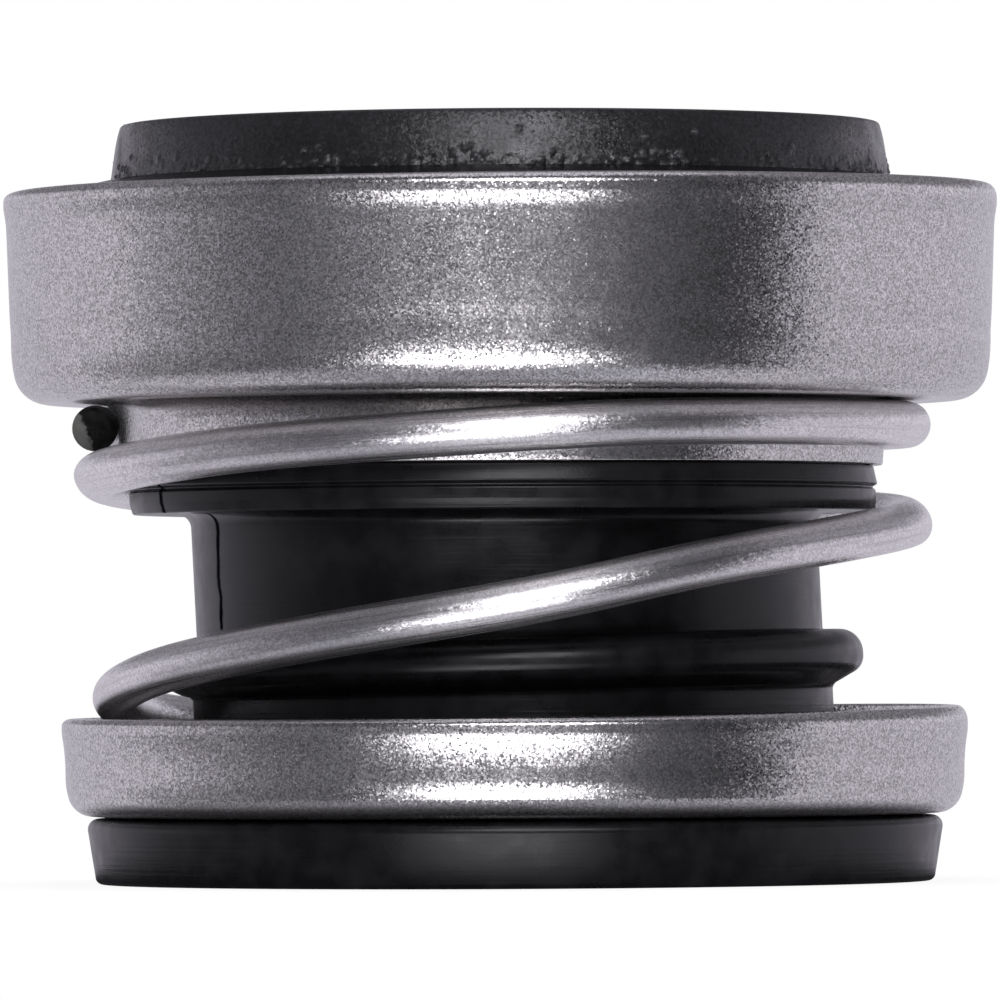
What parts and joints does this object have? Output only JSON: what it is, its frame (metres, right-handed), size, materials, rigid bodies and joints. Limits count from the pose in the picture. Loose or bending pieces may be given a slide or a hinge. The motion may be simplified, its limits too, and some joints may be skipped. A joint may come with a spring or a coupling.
{
  "type": "rubber bellows mechanical seal head",
  "caption": "Spring-loaded rubber-bellows seal head for a pump shaft: a carbon face ring in a steel cup, pushed off a flared dish by one open coil.",
  "frame": {"origin": "on the shaft's axis at the underside of the rubber foot, where the head stands", "axes": "+Z along the shaft's axis from the foot to the sealing face; -X through the spring's top end"},
  "size_m": [0.0224, 0.0224, 0.0172],
  "materials": {
    "carbon": "matte",
    "drawn_stainless": "satin",
    "moulded_rubber": "satin",
    "spring_wire": "satin"
  },
  "bodies": {
    "tail": {"bellows": "moulded_rubber", "spring": "spring_wire", "tail_cup": "drawn_stainless"},
    "head": {"head_cup": "drawn_stainless", "face_ring": "carbon"}
  },
  "joints": [
    {"name": "head_slide", "type": "slide", "parent": "tail", "child": "head", "axis": [0, 0, 1], "range_m": [-0.002, 0], "stiffness_N_per_m": 1050, "deforming": ["spring", "bellows"]}
  ]
}
